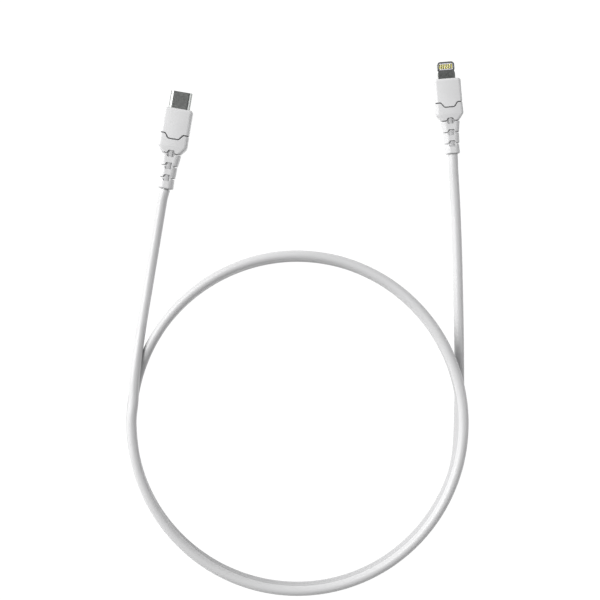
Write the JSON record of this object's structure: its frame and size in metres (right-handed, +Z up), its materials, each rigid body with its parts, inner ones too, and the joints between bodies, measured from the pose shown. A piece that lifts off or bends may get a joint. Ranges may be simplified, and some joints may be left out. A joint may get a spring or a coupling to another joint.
{
  "type": "charging cable",
  "caption": "Charging cable with an oval plug on one end and a flat tab plug on the other, both with segmented strain reliefs, laid in a loose round loop.",
  "frame": {"origin": "on the surface that the cable lies on, midway between the two plugs' outermost points", "axes": "+Z up from the surface, +X from the oval plug towards the tab plug, +Y the way the plugs point"},
  "size_m": [0.1306, 0.2041, 0.0115],
  "materials": {
    "cover": "satin white plastic",
    "relief": "matte white elastomer",
    "jacket": "matte white elastomer",
    "plug_metal": "satin grey metal",
    "spring_steel": "bright rolled steel",
    "gold": "gold plated",
    "dark_plastic": "matte black plastic",
    "pale_plastic": "smooth pale plastic",
    "board": "green solder mask",
    "chip": "matte black moulding",
    "wire_red": "smooth insulation",
    "wire_black": "smooth insulation",
    "wire_green": "smooth insulation",
    "wire_white": "smooth insulation"
  },
  "bodies": {
    "cable": {"cord": "jacket", "oval_relief_ring_3": "relief", "tab_relief_ring_3": "relief"},
    "oval_link_2": {"oval_relief_ring_2": "relief"},
    "oval_link_1": {"oval_relief_ring_1": "relief"},
    "oval_head": {"oval_front_cover": "cover", "oval_rear_cover": "relief", "oval_can": "spring_steel", "oval_wire_power": "wire_red", "oval_wire_ground": "wire_black", "oval_wire_data_plus": "wire_green", "oval_wire_data_minus": "wire_white", "oval_board": "board", "oval_shell": "plug_metal", "oval_liner": "dark_plastic", "oval_latch_plate": "spring_steel", "oval_ground_spring_top": "spring_steel", "oval_ground_spring_bottom": "spring_steel", "oval_contact_top_1": "gold", "oval_contact_top_4": "gold", "oval_contact_top_5": "gold", "oval_contact_top_6": "gold", "oval_contact_top_7": "gold", "oval_contact_top_9": "gold", "oval_contact_top_12": "gold", "oval_contact_bottom_1": "gold", "oval_contact_bottom_4": "gold", "oval_contact_bottom_5": "gold", "oval_contact_bottom_9": "gold", "oval_contact_bottom_12": "gold", "oval_resistor": "chip"},
    "tab_link_2": {"tab_relief_ring_2": "relief"},
    "tab_link_1": {"tab_relief_ring_1": "relief"},
    "tab_head": {"tab_front_cover": "cover", "tab_rear_cover": "relief", "tab_can": "spring_steel", "tab_wire_power": "wire_red", "tab_wire_ground": "wire_black", "tab_wire_data_plus": "wire_green", "tab_wire_data_minus": "wire_white", "tab_board": "board", "tab_frame": "plug_metal", "tab_insert": "pale_plastic", "tab_chip": "chip", "tab_contact_top_1": "gold", "tab_contact_bottom_1": "gold", "tab_contact_top_2": "gold", "tab_contact_bottom_2": "gold", "tab_contact_top_3": "gold", "tab_contact_bottom_3": "gold", "tab_contact_top_4": "gold", "tab_contact_bottom_4": "gold", "tab_contact_top_5": "gold", "tab_contact_bottom_5": "gold", "tab_contact_top_6": "gold", "tab_contact_bottom_6": "gold", "tab_contact_top_7": "gold", "tab_contact_bottom_7": "gold", "tab_contact_top_8": "gold", "tab_contact_bottom_8": "gold"}
  },
  "joints": [
    {"name": "oval_bend_3", "type": "hinge", "parent": "cable", "child": "oval_link_2", "pos_m": [-0.05509, -0.02024, 0.00301], "axis": [0, 0, 1], "range_deg": [-5, 5], "stiffness_Nm_per_rad": 0.004},
    {"name": "oval_bend_2", "type": "hinge", "parent": "oval_link_2", "child": "oval_link_1", "pos_m": [-0.0543, -0.01564, 0.00301], "axis": [0, 0, 1], "range_deg": [-5, 5], "stiffness_Nm_per_rad": 0.004},
    {"name": "oval_bend_1", "type": "hinge", "parent": "oval_link_1", "child": "oval_head", "pos_m": [-0.05349, -0.01094, 0.00301], "axis": [0, 0, 1], "range_deg": [-5, 5], "stiffness_Nm_per_rad": 0.004},
    {"name": "tab_bend_3", "type": "hinge", "parent": "cable", "child": "tab_link_2", "pos_m": [0.05445, -0.00706, 0.0028], "axis": [0, 0, 1], "range_deg": [-5, 5], "stiffness_Nm_per_rad": 0.004},
    {"name": "tab_bend_2", "type": "hinge", "parent": "tab_link_2", "child": "tab_link_1", "pos_m": [0.05409, -0.00274, 0.0028], "axis": [0, 0, 1], "range_deg": [-5, 5], "stiffness_Nm_per_rad": 0.004},
    {"name": "tab_bend_1", "type": "hinge", "parent": "tab_link_1", "child": "tab_head", "pos_m": [0.05372, 0.00169, 0.0028], "axis": [0, 0, 1], "range_deg": [-5, 5], "stiffness_Nm_per_rad": 0.004}
  ],
  "couplings": [
    {"joint": "oval_bend_2", "follows": "oval_bend_3", "ratio": 1},
    {"joint": "oval_bend_1", "follows": "oval_bend_3", "ratio": 1},
    {"joint": "tab_bend_2", "follows": "tab_bend_3", "ratio": 1},
    {"joint": "tab_bend_1", "follows": "tab_bend_3", "ratio": 1}
  ]
}
